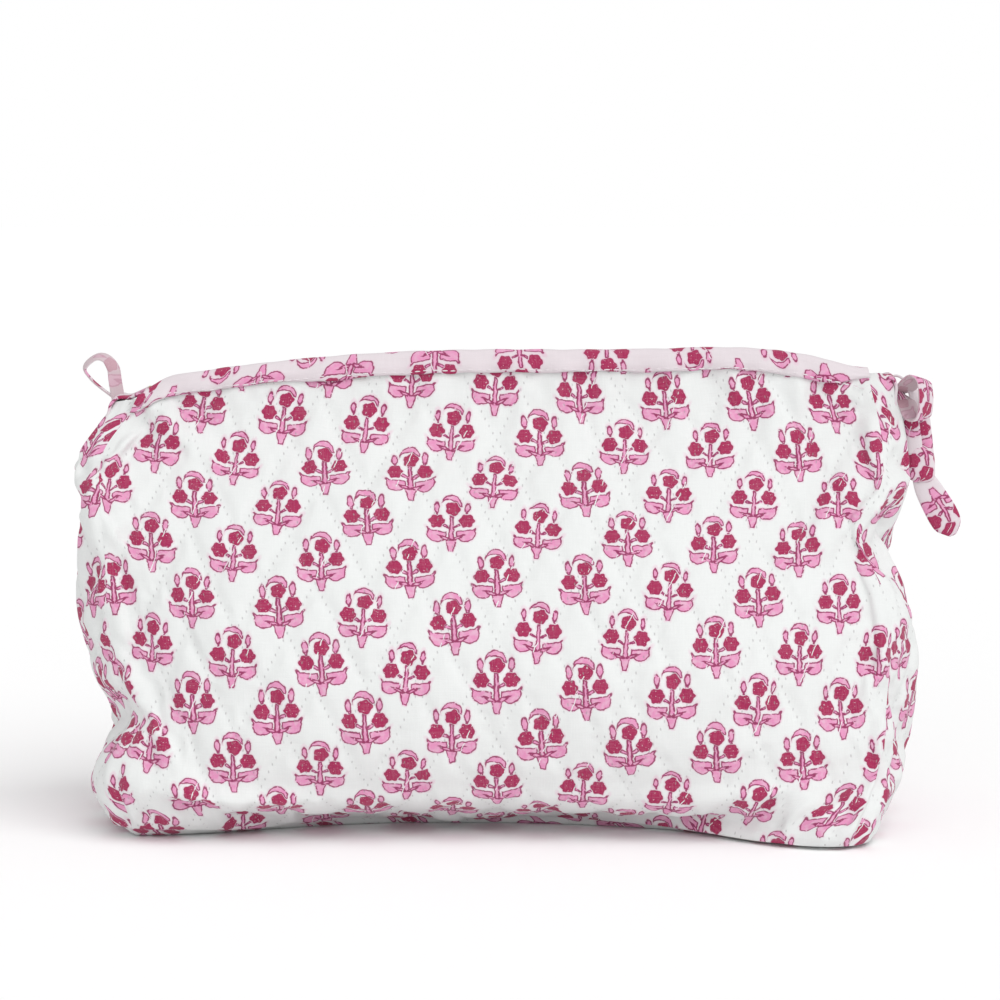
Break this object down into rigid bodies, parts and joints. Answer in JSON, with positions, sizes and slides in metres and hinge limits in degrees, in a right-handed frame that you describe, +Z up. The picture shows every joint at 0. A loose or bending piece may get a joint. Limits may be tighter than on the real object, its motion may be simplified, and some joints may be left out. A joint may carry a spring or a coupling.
{
  "type": "makeup bag",
  "caption": "Quilted block-print cotton makeup bag that stands on a flat base, with a bound zip mouth, end loops and a ribbon zip pull.",
  "frame": {"origin": "centre of the underside of the base, where the bag stands on a table", "axes": "+Z up, +X along the zip towards the end where the closed zip's slider parks, -Y out of the front"},
  "size_m": [0.2959, 0.1322, 0.1633],
  "materials": {
    "printed_quilt": "quilted cotton, off-white ground with small hand-block-printed raspberry and pink flower sprigs",
    "printed_trim": "plain-weave cotton strip cut from the same print",
    "lining_cotton": "plain-weave cotton",
    "wadding": "loose cotton wadding",
    "zip_tape": "woven herringbone tape",
    "zip_teeth": "moulded nylon coil",
    "zip_metal": "polished, with small scratches"
  },
  "bodies": {
    "bag": {"base_panel": "printed_quilt", "base_wadding": "wadding", "base_lining": "lining_cotton", "left_gusset": "printed_quilt", "left_gusset_wadding": "wadding", "left_gusset_lining": "lining_cotton", "right_gusset": "printed_quilt", "right_gusset_wadding": "wadding", "right_gusset_lining": "lining_cotton", "front_right_seam_tape": "printed_trim", "front_left_seam_tape": "printed_trim", "back_left_seam_tape": "printed_trim", "back_right_seam_tape": "printed_trim", "front_base_seam_tape": "printed_trim", "back_base_seam_tape": "printed_trim", "left_zip_tab": "printed_trim", "right_zip_tab": "printed_trim", "bottom_stop": "zip_metal"},
    "front_side": {"front_panel": "printed_quilt", "front_wadding": "wadding", "front_lining": "lining_cotton", "front_binding": "printed_trim", "front_zip_tape": "zip_tape", "front_zip_teeth": "zip_teeth", "front_top_stop": "zip_metal"},
    "back_side": {"back_panel": "printed_quilt", "back_wadding": "wadding", "back_lining": "lining_cotton", "back_binding": "printed_trim", "back_zip_tape": "zip_tape", "back_zip_teeth": "zip_teeth", "back_top_stop": "zip_metal"},
    "slider": {"slider_body": "zip_metal"},
    "pull": {"pull_tab": "zip_metal"},
    "ribbon": {"ribbon_strap": "printed_trim", "ribbon_wrap": "printed_trim", "ribbon_tail": "printed_trim"},
    "left_loop": {"left_loop": "printed_trim"},
    "right_loop": {"right_loop": "printed_trim"}
  },
  "joints": [
    {"name": "zip_travel", "type": "hinge", "parent": "bag", "child": "slider", "pos_m": [0, 0, -0.556], "axis": [0, -1, 0], "range_deg": [0, 17.7], "deforming": ["ribbon_strap", "ribbon_wrap", "ribbon_tail"]},
    {"name": "front_opening", "type": "hinge", "parent": "bag", "child": "front_side", "pos_m": [0, -0.045, 0.0012], "axis": [1, 0, 0], "range_deg": [0, 14]},
    {"name": "back_opening", "type": "hinge", "parent": "bag", "child": "back_side", "pos_m": [0, 0.045, 0.0012], "axis": [-1, 0, 0], "range_deg": [0, 10]},
    {"name": "pull_swing", "type": "hinge", "parent": "slider", "child": "pull", "pos_m": [0.11084, 0, 0.15552], "axis": [0, -1, 0], "range_deg": [0, 140]},
    {"name": "ribbon_swing", "type": "hinge", "parent": "pull", "child": "ribbon", "pos_m": [0.13594, 0, 0.15158], "axis": [0, -1, 0], "range_deg": [0, 80]},
    {"name": "left_loop_flex", "type": "hinge", "parent": "bag", "child": "left_loop", "pos_m": [-0.1288, 0, 0.151], "axis": [0, 1, 0], "range_deg": [-15, 15]},
    {"name": "right_loop_flex", "type": "hinge", "parent": "bag", "child": "right_loop", "pos_m": [0.1358, -0.0062, 0.1472], "axis": [0, -1, 0], "range_deg": [-10, 20]}
  ],
  "couplings": [
    {"joint": "front_opening", "follows": "zip_travel", "ratio": 0.79},
    {"joint": "back_opening", "follows": "zip_travel", "ratio": 0.5645}
  ]
}
